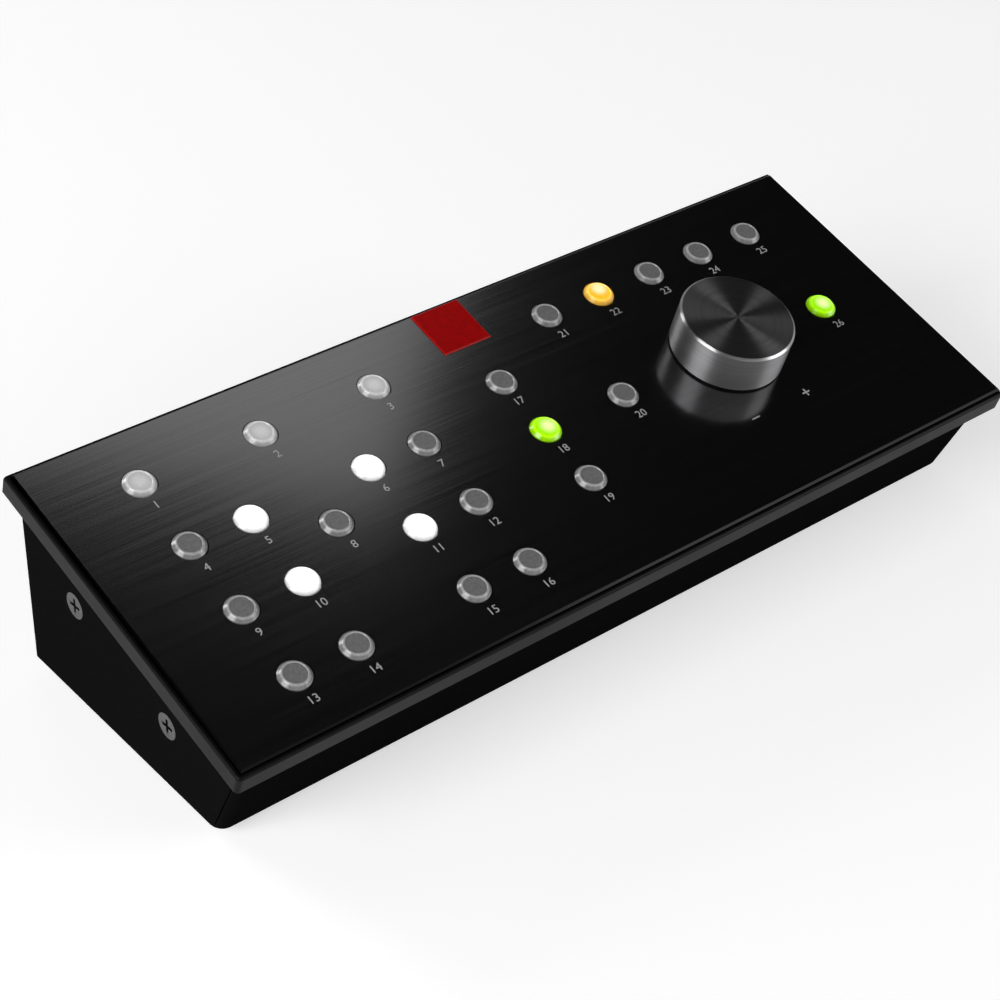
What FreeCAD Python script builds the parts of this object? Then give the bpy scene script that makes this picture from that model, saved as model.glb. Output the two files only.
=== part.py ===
import FreeCAD, Part
import os
import re
import Sketcher

# Studio monitor controller: a wedge-shaped desktop box with a brushed faceplate, twenty-six round
# buttons and one endless volume knob. Millimetres, +Z up, front edge towards -Y, width along X.
# The origin is the middle of the box's footprint, on the surface that the feet stand on.

Vector = FreeCAD.Vector

# Driving sizes

SIZES = {
    # lid: a folded sheet whose top plane rises towards the back
    "lid_width": 290.0,
    "lid_depth": 112.3,
    "lid_tilt": 16.1,
    "lid_sheet": 1.5,
    "flange_depth": 6.0,
    "bend_radius": 1.0,
    "lid_corner": 1.5,
    # faceplate and badge
    "plate_inset": 1.3,
    "plate_thick": 1.5,
    "plate_bevel": 0.6,
    "badge_side": 17.3,
    "badge_thick": 0.5,
    "badge_bevel": 0.2,
    # base pan: a folded tray, narrower than the lid
    "body_inset": 4.1,
    "body_drop": 33.5,
    "front_gap": 1.87,
    "front_lean": 24.8,
    "rear_setback": 0.2,
    "pan_sheet": 1.5,
    "pan_corner": 4.0,
    "pan_fold": 1.2,
    "lid_gap": 0.3,
    "rear_lip": 8.0,
    "seam_width": 0.4,
    "seam_setback": 2.2,
    # side screws with the brackets and press nuts behind them
    "side_screw_front": 34.6,
    "side_screw_back": 80.0,
    "side_screw_drop": 22.0,
    "side_head_radius": 4.0,
    "side_head_height": 2.0,
    "side_thread_radius": 2.0,
    "side_screw_length": 8.0,
    "screw_clearance": 0.1,
    "bracket_sheet": 1.5,
    "bracket_foot": 12.0,
    "bracket_margin": 12.0,
    "bracket_fit": 0.1,
    "nut_radius": 3.5,
    "nut_length": 3.0,
    # button caps, on a grid measured from the lid's edges
    "side_margin": 30.0,
    "front_margin": 19.0,
    "column_pitch": 19.85,
    "rear_margin": 19.8,
    "centre_pitch": 21.0,
    "right_pitch": 21.15,
    "cap_radius": 4.8,
    "cap_top_radius": 3.7,
    "cap_rise": 1.25,
    "cap_collar": 0.15,
    "cap_clearance": 0.3,
    "lid_hole_clearance": 0.6,
    "cap_flange": 11.6,
    "cap_flange_thick": 1.0,
    "flange_gap": 0.1,
    "stem_side": 2.8,
    "button_travel": 0.7,
    # control board with its switches and lamps
    "board_drop": 9.0,
    "board_thick": 1.6,
    "board_side_gap": 14.0,
    "board_front_gap": 9.0,
    "switch_side": 6.0,
    "switch_height": 4.3,
    "switch_floor": 0.8,
    "stem_clearance": 0.3,
    "lamp_length": 1.6,
    "lamp_width": 0.8,
    "lamp_height": 0.7,
    "lamp_offset": 4.4,
    "post_radius": 2.8,
    "post_edge": 5.0,
    "post_middle": 16.0,
    "board_thread_radius": 1.5,
    "board_head_radius": 2.75,
    "board_head_height": 1.8,
    "board_screw_bite": 5.0,
    # encoder under the knob
    "encoder_side": 13.0,
    "encoder_gap": 0.1,
    "bush_radius": 4.5,
    "bush_hole_clearance": 0.3,
    "bush_stand": 3.0,
    "shaft_radius": 3.0,
    "shaft_fit": 0.05,
    "shaft_flat": 1.5,
    "shaft_flat_length": 6.0,
    "shaft_cover": 0.5,
    "washer_radius": 6.6,
    "washer_thick": 0.5,
    "encoder_nut_corner": 6.6,
    "encoder_nut_thick": 2.0,
    # volume knob
    "knob_radius": 18.1,
    "knob_height": 13.2,
    "knob_gap": 0.7,
    "knob_chamfer": 0.6,
    "knob_wall": 2.2,
    "knob_roof": 2.0,
    "hub_radius": 9.0,
    "hub_recess_radius": 7.4,
    "hub_recess_depth": 3.6,
    # feet
    "foot_radius": 6.5,
    "foot_height": 3.0,
    "foot_taper": 0.5,
    "foot_inset": 14.0,
    "foot_bore_radius": 3.3,
    "foot_bore_depth": 1.8,
    "foot_head_radius": 2.8,
    "foot_head_height": 1.3,
    "foot_thread_radius": 1.5,
    "foot_nut_corner": 3.1,
    "foot_nut_thick": 2.4,
    # data socket at the back, on a board of its own
    "socket_width": 16.0,
    "socket_height": 13.5,
    "socket_depth": 15.0,
    "socket_proud": 0.5,
    "socket_mouth_width": 11.8,
    "socket_mouth_height": 7.0,
    "socket_mouth_depth": 12.0,
    "socket_mouth_lift": 3.0,
    "socket_hole_clearance": 0.3,
    "contact_count": 8.0,
    "contact_pitch": 1.02,
    "contact_width": 0.5,
    "contact_thick": 0.4,
    "contact_length": 7.0,
    "small_board_width": 40.0,
    "small_board_depth": 34.0,
    "small_board_lift": 5.0,
    "small_post_radius": 2.5,
    "small_post_inset": 4.0,
    "small_thread_radius": 1.25,
    "small_head_radius": 2.3,
    "small_head_height": 1.5,
    # ribbon cable between the two boards
    "header_length": 22.0,
    "header_depth": 5.0,
    "header_height": 6.0,
    "header_setback": 32.3,
    "ribbon_width": 19.0,
    "ribbon_thick": 0.9,
    "ribbon_slack": 6.0,
    "ribbon_rise": 4.0,
}

COLUMNS = 5
RIGHT_BUTTONS = 5

doc = FreeCAD.newDocument("monitor_controller")
sheet = doc.addObject("Spreadsheet::Sheet", "Sizes")
for line, (alias, size) in enumerate(SIZES.items(), start=1):
    cell = f"A{line}"
    sheet.set(cell, str(size))
    sheet.setAlias(cell, alias)
doc.recompute()

# Formulas worked out from the driving sizes

MID_DEPTH = (
    "((lid_depth * cos(lid_tilt) + flange_depth * sin(lid_tilt)"
    " + bend_radius * (cos(lid_tilt) + sin(lid_tilt) - 1)) / 2)"
)
FRONT_EDGE_HEIGHT = "(body_drop + foot_height)"
REAR_FACE = "(lid_depth * cos(lid_tilt) - rear_setback)"
PLATE_TOP = "plate_thick"
CAP_TOP = "(plate_thick + cap_rise)"
BOARD_UNDER = "(board_drop + board_thick)"
ROW_PITCH = "((lid_depth - front_margin - rear_margin) / 3)"
MIDDLE_ROW = f"(front_margin + 1.5 * {ROW_PITCH})"
KNOB_X = "(lid_width / 2 - side_margin - 2 * right_pitch)"
BODY_HALF = "(lid_width / 2 - body_inset)"

exported = []


def formula(text):
    """Points every size named in a formula at its cell of the sheet."""
    return re.sub(r"[a-z]\w*", lambda m: "Sizes." + m.group() if m.group() in SIZES else m.group(), text)


def bind(thing, prop, text):
    thing.setExpression(prop, formula(text))


def place(thing, x, y, z, axis=Vector(1, 0, 0), angle="0"):
    """Stands a piece upright, from x across and y back from the lid's front edge, z up from it."""
    thing.Placement = FreeCAD.Placement(Vector(), FreeCAD.Rotation(axis, 1))
    bind(thing, "Placement.Base.x", x)
    bind(thing, "Placement.Base.y", f"({y}) - {MID_DEPTH}")
    bind(thing, "Placement.Base.z", f"({z}) + {FRONT_EDGE_HEIGHT}")
    bind(thing, "Placement.Rotation.Angle", angle)
    return thing


def panel_y(v, n):
    return f"(({v}) * cos(lid_tilt) - ({n}) * sin(lid_tilt))"


def panel_z(v, n):
    return f"(({v}) * sin(lid_tilt) + ({n}) * cos(lid_tilt))"


def place_on_panel(thing, x="0", v="0", n="0"):
    """Tilts a piece with the lid, from x across, v up the slope and n out of the lid's top plane."""
    return place(thing, x, panel_y(v, n), panel_z(v, n), angle="lid_tilt")


def keep(thing, label):
    thing.Label = label
    exported.append(thing)
    return thing


# Sketched bodies


def new_body(name):
    return doc.addObject("PartDesign::Body", name)


def new_sketch(body, name, role):
    sketch = body.newObject("Sketcher::SketchObject", name)
    plane = [f for f in body.Origin.OriginFeatures if f.Role == role][0]
    sketch.AttachmentSupport = [(plane, "")]
    sketch.MapMode = "FlatFace"
    return sketch


def hold_point(sketch, edge, end, x, y):
    """Ties one point of a sketch to formulas for its place."""
    for kind, text in (("DistanceX", x), ("DistanceY", y)):
        index = sketch.addConstraint(Sketcher.Constraint(kind, -1, 1, edge, end, 1.0))
        sketch.setExpression(f"Constraints[{index}]", formula(text))


def draw_outline(sketch, points):
    """A closed run of straight lines through points given as formulas."""
    first = sketch.GeometryCount
    count = len(points)
    circle = Part.makeCircle(10.0)
    turn = circle.Length / count
    corners = [circle.valueAt(circle.getParameterByLength(i * turn)) for i in range(count)]
    for i in range(count):
        sketch.addGeometry(Part.LineSegment(corners[i], corners[(i + 1) % count]), False)
    for i in range(count):
        sketch.addConstraint(Sketcher.Constraint("Coincident", first + i, 2, first + (i + 1) % count, 1))
    for i, (x, y) in enumerate(points):
        hold_point(sketch, first + i, 1, x, y)


def draw_circle(sketch, x, y, radius):
    edge = sketch.addGeometry(Part.Circle(Vector(), Vector(0, 0, 1), 1.0), False)
    hold_point(sketch, edge, 3, x, y)
    index = sketch.addConstraint(Sketcher.Constraint("Radius", edge, 1.0))
    sketch.setExpression(f"Constraints[{index}]", formula(radius))


def rectangle(x_low, x_high, y_low, y_high):
    return [(x_low, y_low), (x_high, y_low), (x_high, y_high), (x_low, y_high)]


def add_pad(body, sketch, length, midplane=False, backwards=False):
    pad = body.newObject("PartDesign::Pad", sketch.Name + "_pad")
    pad.Profile = sketch
    bind(pad, "Length", length)
    pad.Midplane = midplane
    pad.Reversed = backwards
    doc.recompute()
    return pad


def add_pocket(body, sketch, length, midplane=False, backwards=False):
    """Cuts a sketch out of a body and makes sure that it took something away."""
    before = body.Shape.Volume
    pocket = body.newObject("PartDesign::Pocket", sketch.Name + "_pocket")
    pocket.Profile = sketch
    bind(pocket, "Length", length)
    pocket.Midplane = midplane
    pocket.Reversed = backwards
    doc.recompute()
    if body.Shape.Volume >= before:
        raise RuntimeError(pocket.Name + " cuts nothing")
    return pocket


def edges_where(body, test):
    """Names of the straight edges of a body whose two ends both pass a test."""
    names = []
    for index, edge in enumerate(body.Shape.Edges, start=1):
        ends = [vertex.Point for vertex in edge.Vertexes]
        if len(ends) == 2 and edge.Curve.TypeId == "Part::GeomLine" and test(*ends):
            names.append(f"Edge{index}")
    return names


def dress(body, kind, edges, size_property, size):
    """A fillet or a chamfer on edges of a body's last feature."""
    if not edges:
        raise RuntimeError(body.Name + " has no edge to dress")
    base = body.Tip
    feature = body.newObject("PartDesign::" + kind, f"{body.Name}_{kind.lower()}_{len(body.Group)}")
    feature.Base = (base, edges)
    bind(feature, size_property, size)
    body.Tip = feature
    doc.recompute()
    return feature


def near(a, b):
    return abs(a - b) < 0.01


def number(text):
    """The value of a formula, for choosing edges by place."""
    probe = doc.addObject("Part::Sphere", "Probe")
    bind(probe, "Placement.Base.x", text)
    doc.recompute()
    result = probe.Placement.Base.x
    doc.removeObject(probe.Name)
    return result


def revolve(name, points):
    """A body turned about its own Z axis from points given as radius and height."""
    body = new_body(name)
    sketch = new_sketch(body, name + "_profile", "XZ_Plane")
    draw_outline(sketch, points)
    turned = body.newObject("PartDesign::Revolution", name + "_turned")
    turned.Profile = sketch
    turned.ReferenceAxis = (sketch, ["V_Axis"])
    turned.Angle = 360.0
    return body


# Plain solids


def cylinder(name, radius, height):
    solid = doc.addObject("Part::Cylinder", name)
    bind(solid, "Radius", radius)
    bind(solid, "Height", height)
    return solid


def cone(name, low_radius, high_radius, height):
    solid = doc.addObject("Part::Cone", name)
    bind(solid, "Radius1", low_radius)
    bind(solid, "Radius2", high_radius)
    bind(solid, "Height", height)
    return solid


def hexagon(name, corner, height):
    solid = doc.addObject("Part::Prism", name)
    solid.Polygon = 6
    bind(solid, "Circumradius", corner)
    bind(solid, "Height", height)
    return solid


def box(name, length, width, height):
    solid = doc.addObject("Part::Box", name)
    bind(solid, "Length", length)
    bind(solid, "Width", width)
    bind(solid, "Height", height)
    return solid


def cut(name, base, tool):
    result = doc.addObject("Part::Cut", name)
    result.Base = base
    result.Tool = tool
    return result


def fuse(name, solids):
    result = doc.addObject("Part::MultiFuse", name)
    result.Shapes = solids
    return result


def group(name, solids):
    """Identical pieces that stay separate solids in one node."""
    result = doc.addObject("Part::Compound", name)
    result.Links = solids
    return keep(result, name)


# Places of the buttons, in reading order from the back left corner


def column(i):
    return f"(side_margin + {i} * column_pitch - lid_width / 2)"


def row(j):
    return f"(front_margin + {j} * {ROW_PITCH})"


def button_places():
    last = COLUMNS - 1
    middle = last // 2
    outer_and_inner = [0, 1, last - 1, last]
    places = [(column(i), row(3)) for i in (0, middle, last)]
    places += [(column(i), row(2)) for i in outer_and_inner]
    places.append((column(middle), MIDDLE_ROW))
    places += [(column(i), row(1)) for i in outer_and_inner]
    places += [(column(i), row(0)) for i in outer_and_inner]
    places += [("0", f"({MIDDLE_ROW} + {k} * centre_pitch)") for k in (1, 0, -1)]
    right = [f"(lid_width / 2 - side_margin - {k} * right_pitch)" for k in range(RIGHT_BUTTONS)]
    places.append((right[-1], MIDDLE_ROW))
    places += [(x, row(3)) for x in reversed(right)]
    places.append((right[0], MIDDLE_ROW))
    return places


BUTTONS = button_places()


# Faceplate: one flat sheet with a hole for every cap and one for the encoder's bush


def build_faceplate():
    body = new_body("Faceplate")
    sketch = new_sketch(body, "Faceplate_outline", "XY_Plane")
    half = "(lid_width / 2 - plate_inset)"
    draw_outline(sketch, rectangle("-" + half, half, "plate_inset", "lid_depth - plate_inset"))
    for x, v in BUTTONS:
        draw_circle(sketch, x, v, "cap_radius + cap_clearance")
    draw_circle(sketch, KNOB_X, MIDDLE_ROW, "bush_radius + bush_hole_clearance")
    add_pad(body, sketch, "plate_thick")
    top = number("plate_thick")
    rim = edges_where(body, lambda a, b: near(a.z, top) and near(b.z, top))
    dress(body, "Chamfer", rim, "Size", "plate_bevel")
    keep(place_on_panel(body), "faceplate")


# Badge: a bare enamelled square at the middle of the faceplate's back edge


def build_badge():
    body = new_body("Badge")
    sketch = new_sketch(body, "Badge_outline", "XY_Plane")
    back = "(lid_depth - plate_inset - plate_bevel)"
    half = "(badge_side / 2)"
    draw_outline(sketch, rectangle("-" + half, half, f"{back} - badge_side", back))
    add_pad(body, sketch, "badge_thick")
    top = number("badge_thick")
    rim = edges_where(body, lambda a, b: near(a.z, top) and near(b.z, top))
    dress(body, "Chamfer", rim, "Size", "badge_bevel")
    keep(place_on_panel(body, n=PLATE_TOP), "badge")


# Lid pan: the top sheet with flanges turned down at the front and both sides, open at the back


def build_lid_pan():
    body = new_body("LidPan")
    outer = new_sketch(body, "LidPan_outline", "XY_Plane")
    half = "(lid_width / 2)"
    draw_outline(outer, rectangle("-" + half, half, "0", "lid_depth"))
    add_pad(body, outer, "flange_depth", backwards=True)
    low = number("-flange_depth")
    right = number(half)
    back = number("lid_depth")

    def is_front_corner(a, b):
        return near(a.y, 0) and near(b.y, 0) and near(abs(a.x), right) and near(a.x, b.x)

    dress(body, "Fillet", edges_where(body, is_front_corner), "Radius", "lid_corner")

    def is_top_bend(a, b):
        on_top = near(a.z, 0) and near(b.z, 0)
        return on_top and not (near(a.y, back) and near(b.y, back))

    dress(body, "Fillet", edges_where(body, is_top_bend), "Radius", "bend_radius")
    hollow = new_sketch(body, "LidPan_hollow", "XY_Plane")
    hollow.AttachmentOffset = FreeCAD.Placement(Vector(0, 0, low), FreeCAD.Rotation())
    bind(hollow, "AttachmentOffset.Base.z", "-flange_depth")
    inner = "(lid_width / 2 - lid_sheet)"
    draw_outline(hollow, rectangle("-" + inner, inner, "lid_sheet", "lid_depth + lid_sheet"))
    add_pocket(body, hollow, "flange_depth - lid_sheet", backwards=True)
    holes = new_sketch(body, "LidPan_holes", "XY_Plane")
    for x, v in BUTTONS:
        draw_circle(holes, x, v, "cap_radius + lid_hole_clearance")
    draw_circle(holes, KNOB_X, MIDDLE_ROW, "bush_radius + bush_hole_clearance")
    add_pocket(body, holes, "2 * lid_sheet")
    keep(place_on_panel(body), "lid_pan")


# Base pan: floor, leaning front wall, upright side walls and rear wall folded from one sheet


def front_face(z, inwards="0"):
    """How far back the front wall stands at height z, or a plane that far inside its face."""
    return f"(front_gap - ({z}) * tan(front_lean) + ({inwards}) / cos(front_lean))"


def wall_top(y, below):
    """Height of a plane parallel to the lid, so far below the lid's top plane, at y."""
    return f"(({y}) * tan(lid_tilt) - ({below}) / cos(lid_tilt))"


def front_meets_lid(below, inwards="0"):
    """Where a plane parallel to the front wall meets a plane parallel to the lid."""
    start = front_face("0", inwards)
    z = (
        f"(({start} * tan(lid_tilt) - ({below}) / cos(lid_tilt))"
        " / (1 + tan(front_lean) * tan(lid_tilt)))"
    )
    return front_face(z, inwards), z


def build_base_pan():
    body = new_body("BasePan")
    under = "(lid_sheet + lid_gap)"
    floor = "-body_drop"
    outline = new_sketch(body, "BasePan_outline", "YZ_Plane")
    top_front = front_meets_lid(under)
    draw_outline(outline, [
        (front_face(floor), floor),
        (REAR_FACE, floor),
        (REAR_FACE, wall_top(REAR_FACE, under)),
        top_front,
    ])
    add_pad(body, outline, f"2 * {BODY_HALF}", midplane=True)
    low = number(floor)
    side = number(BODY_HALF)
    rear = number(REAR_FACE)

    def is_front_corner(a, b):
        in_front = a.y < rear / 2 and b.y < rear / 2
        return in_front and near(abs(a.x), side) and near(a.x, b.x) and not near(a.z, b.z)

    dress(body, "Fillet", edges_where(body, is_front_corner), "Radius", "pan_corner")

    def is_floor_edge(a, b):
        return near(a.z, low) and near(b.z, low)

    dress(body, "Fillet", edges_where(body, is_floor_edge), "Radius", "pan_fold")
    hollow = new_sketch(body, "BasePan_hollow", "YZ_Plane")
    inner_floor = "(pan_sheet - body_drop)"
    inner_rear = f"({REAR_FACE} - pan_sheet)"
    lip_under = f"({under} + pan_sheet)"
    lip_edge = f"({REAR_FACE} - rear_lip)"
    over = "-lid_sheet"
    draw_outline(hollow, [
        (front_face(inner_floor, "pan_sheet"), inner_floor),
        (inner_rear, inner_floor),
        (inner_rear, wall_top(inner_rear, lip_under)),
        (lip_edge, wall_top(lip_edge, lip_under)),
        (lip_edge, wall_top(lip_edge, over)),
        front_meets_lid(over, "pan_sheet"),
    ])
    add_pocket(body, hollow, f"2 * ({BODY_HALF} - pan_sheet)", midplane=True)
    inner_side = number(f"{BODY_HALF} - pan_sheet")

    def is_inner_corner(a, b):
        in_front = a.y < rear / 2 and b.y < rear / 2
        return in_front and near(abs(a.x), inner_side) and near(a.x, b.x) and not near(a.z, b.z)

    dress(body, "Fillet", edges_where(body, is_inner_corner), "Radius", "pan_corner - pan_sheet")
    seam = new_sketch(body, "BasePan_seam", "YZ_Plane")
    seam_low = "(pan_sheet + seam_width - body_drop)"
    seam_back = "(seam_setback + seam_width)"
    draw_outline(seam, [
        (front_face(seam_low, "seam_setback"), seam_low),
        (front_face(seam_low, seam_back), seam_low),
        front_meets_lid(over, seam_back),
        front_meets_lid(over, "seam_setback"),
    ])
    add_pocket(body, seam, "lid_width", midplane=True)
    mouth = new_sketch(body, "BasePan_socket_hole", "XZ_Plane")
    half = "(socket_width / 2 + socket_hole_clearance)"
    draw_outline(mouth, rectangle(
        "-" + half,
        half,
        f"{SOCKET_BOTTOM} - socket_hole_clearance",
        f"{SOCKET_BOTTOM} + socket_height + socket_hole_clearance",
    ))
    mouth.AttachmentOffset = FreeCAD.Placement(Vector(0, 0, -1), FreeCAD.Rotation())
    bind(mouth, "AttachmentOffset.Base.z", f"-{REAR_FACE}")
    add_pocket(body, mouth, "4 * pan_sheet", midplane=True)
    feet = new_sketch(body, "BasePan_foot_holes", "XY_Plane")
    feet.AttachmentOffset = FreeCAD.Placement(Vector(0, 0, low), FreeCAD.Rotation())
    bind(feet, "AttachmentOffset.Base.z", floor)
    for x, y in FEET:
        draw_circle(feet, x, y, "foot_thread_radius + screw_clearance")
    for x, y in SMALL_POSTS:
        draw_circle(feet, x, y, "small_thread_radius + screw_clearance")
    add_pocket(body, feet, "4 * pan_sheet", midplane=True)
    place(body, "0", "0", "0")
    sinks = []
    for name, sign, v in side_screw_places():
        sink = cone(
            f"Sink_{name}",
            "side_head_radius + screw_clearance",
            "side_thread_radius + screw_clearance",
            "side_head_height",
        )
        sinks.append(lay_side_screw(sink, sign, v, "0"))
    keep(cut("Base", body, fuse("Sinks", sinks)), "base_pan")


# Side screws: countersunk, through the side walls and brackets into press nuts


def side_screw_places():
    rows = (("front", "side_screw_front"), ("back", "side_screw_back"))
    return [(f"{side}_{name}", sign, v) for side, sign in (("left", -1), ("right", 1)) for name, v in rows]


def lay_side_screw(thing, sign, v, depth):
    """Lays a piece's axis along X at a side screw, starting so deep inside the side wall's face."""
    x = f"{sign} * ({BODY_HALF} - ({depth}))"
    y = panel_y(v, "-side_screw_drop")
    z = panel_z(v, "-side_screw_drop")
    return place(thing, x, y, z, axis=Vector(0, -sign, 0), angle="90")


def build_side_screws():
    screws = []
    nuts = []
    nut_depth = "(pan_sheet + bracket_fit + bracket_sheet)"
    for name, sign, v in side_screw_places():
        head = cone(f"Head_{name}", "side_head_radius", "side_thread_radius", "side_head_height")
        shank = cylinder(f"Shank_{name}", "side_thread_radius", "side_screw_length")
        lay_side_screw(head, sign, v, "0")
        lay_side_screw(shank, sign, v, "0")
        screws.append(fuse(f"Side_screw_{name}", [head, shank]))
        ring = cylinder(f"Nut_{name}", "nut_radius", "nut_length")
        bore = cylinder(f"Nut_bore_{name}", "side_thread_radius + shaft_fit", "nut_length")
        lay_side_screw(ring, sign, v, nut_depth)
        lay_side_screw(bore, sign, v, nut_depth)
        nuts.append(cut(f"Press_nut_{name}", ring, bore))
    group("side_screws", screws)
    group("press_nuts", nuts)


# Brackets: one angle under each side of the lid, which the side screws pull against


def build_bracket(name, sign):
    body = new_body(name)
    sketch = new_sketch(body, name + "_section", "XZ_Plane")
    outer = f"{sign} * ({BODY_HALF} - pan_sheet - bracket_fit)"
    inner = f"{sign} * ({BODY_HALF} - pan_sheet - bracket_fit - bracket_sheet)"
    foot = f"{sign} * ({BODY_HALF} - pan_sheet - bracket_fit - bracket_foot)"
    low = "-(side_screw_drop + nut_radius + screw_clearance)"
    draw_outline(sketch, [
        (outer, "-lid_sheet"),
        (outer, low),
        (inner, low),
        (inner, "-(lid_sheet + bracket_sheet)"),
        (foot, "-(lid_sheet + bracket_sheet)"),
        (foot, "-lid_sheet"),
    ])
    add_pad(body, sketch, "side_screw_back - side_screw_front + 2 * bracket_margin", midplane=True)
    holes = new_sketch(body, name + "_holes", "YZ_Plane")
    middle = "((side_screw_front + side_screw_back) / 2)"
    hole_radius = "side_head_radius - pan_sheet + 2 * screw_clearance"
    for v in ("side_screw_front", "side_screw_back"):
        draw_circle(holes, f"{v} - {middle}", "-side_screw_drop", hole_radius)
    add_pocket(body, holes, "lid_width", midplane=True)
    keep(place_on_panel(body, v=middle), name)


# Button caps: a round cap over a square flange that the lid holds down, and a stem for the switch


def build_button(index, x, v):
    name = f"button_{index:02d}"
    body = new_body(name)
    flange_top = "(lid_sheet + flange_gap)"
    flange_low = f"({flange_top} + cap_flange_thick)"
    collar = f"({PLATE_TOP} + cap_collar)"
    profile = new_sketch(body, name + "_profile", "XZ_Plane")
    draw_outline(profile, [
        ("0", f"-{flange_top}"),
        ("cap_radius", f"-{flange_top}"),
        ("cap_radius", collar),
        ("cap_top_radius", CAP_TOP),
        ("0", CAP_TOP),
    ])
    turned = body.newObject("PartDesign::Revolution", name + "_cap")
    turned.Profile = profile
    turned.ReferenceAxis = (profile, ["V_Axis"])
    turned.Angle = 360.0
    flange = new_sketch(body, name + "_flange", "XY_Plane")
    bind(flange, "AttachmentOffset.Base.z", f"-{flange_top}")
    draw_outline(flange, square("cap_flange"))
    add_pad(body, flange, "cap_flange_thick", backwards=True)
    stem = new_sketch(body, name + "_stem", "XY_Plane")
    bind(stem, "AttachmentOffset.Base.z", f"-{flange_low}")
    draw_outline(stem, square("stem_side"))
    add_pad(body, stem, f"{STEM_END} - {flange_low}", backwards=True)
    keep(place_on_panel(body, x, v), name)


def square(side):
    half = f"({side}) / 2"
    return rectangle("-" + half, half, "-" + half, half)


STEM_END = "(board_drop - switch_floor - button_travel - stem_clearance)"


# Switches and lamps: one of each under every cap, on the control board's upper face


def build_switches():
    switches = []
    lamps = []
    well = "(stem_side + 2 * stem_clearance)"
    for index, (x, v) in enumerate(BUTTONS, start=1):
        case = box(f"Switch_case_{index}", "switch_side", "switch_side", "switch_height")
        place_on_panel(case, f"{x} - switch_side / 2", f"{v} - switch_side / 2", "-board_drop")
        hole = box(f"Switch_well_{index}", well, well, "switch_height")
        place_on_panel(hole, f"{x} - {well} / 2", f"{v} - {well} / 2", "switch_floor - board_drop")
        switches.append(cut(f"Switch_{index}", case, hole))
        lamp = box(f"Lamp_{index}", "lamp_width", "lamp_length", "lamp_height")
        place_on_panel(lamp, f"{x} + lamp_offset - lamp_width / 2", f"{v} - lamp_length / 2", "-board_drop")
        lamps.append(lamp)
    group("tact_switches", switches)
    group("button_lamps", lamps)


# Control board, hung from the lid on six posts

BOARD_HALF = "(lid_width / 2 - board_side_gap)"
BOARD_BACK = "(lid_depth - board_front_gap)"
POSTS = [
    (x, v)
    for x in (f"(post_edge - {BOARD_HALF})", "post_middle", f"({BOARD_HALF} - post_edge)")
    for v in ("(board_front_gap + post_edge)", f"({BOARD_BACK} - post_edge)")
]


def build_control_board():
    body = new_body("ControlBoard")
    sketch = new_sketch(body, "ControlBoard_outline", "XY_Plane")
    draw_outline(sketch, rectangle("-" + BOARD_HALF, BOARD_HALF, "board_front_gap", BOARD_BACK))
    for x, v in POSTS:
        draw_circle(sketch, x, v, "board_thread_radius + screw_clearance")
    add_pad(body, sketch, "board_thick")
    keep(place_on_panel(body, n=f"-{BOARD_UNDER}"), "control_board")
    posts = []
    screws = []
    post_height = "(board_drop - lid_sheet)"
    for index, (x, v) in enumerate(POSTS, start=1):
        post = hexagon(f"Post_{index}", "post_radius", post_height)
        bore = cylinder(f"Post_bore_{index}", "board_thread_radius + shaft_fit", post_height)
        place_on_panel(post, x, v, "-board_drop")
        place_on_panel(bore, x, v, "-board_drop")
        posts.append(cut(f"Board_post_{index}", post, bore))
        head = cylinder(f"Board_head_{index}", "board_head_radius", "board_head_height")
        shank = cylinder(f"Board_shank_{index}", "board_thread_radius", "board_thick + board_screw_bite")
        place_on_panel(head, x, v, f"-({BOARD_UNDER} + board_head_height)")
        place_on_panel(shank, x, v, f"-{BOARD_UNDER}")
        screws.append(fuse(f"Board_screw_{index}", [head, shank]))
    group("board_posts", posts)
    group("board_screws", screws)


# Encoder: a body on the board, a threaded bush through lid and faceplate, and a flatted shaft

ENCODER_TOP = "(lid_sheet + encoder_gap)"
BUSH_TOP = f"({PLATE_TOP} + bush_stand)"
KNOB_LOW = f"({PLATE_TOP} + knob_gap)"
KNOB_TOP = f"({KNOB_LOW} + knob_height)"
SHAFT_TOP = f"({KNOB_TOP} - knob_roof - shaft_cover)"
SHAFT_LOW = "(board_drop - encoder_gap)"


def at_knob(thing, n):
    return place_on_panel(thing, KNOB_X, MIDDLE_ROW, n)


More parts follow.
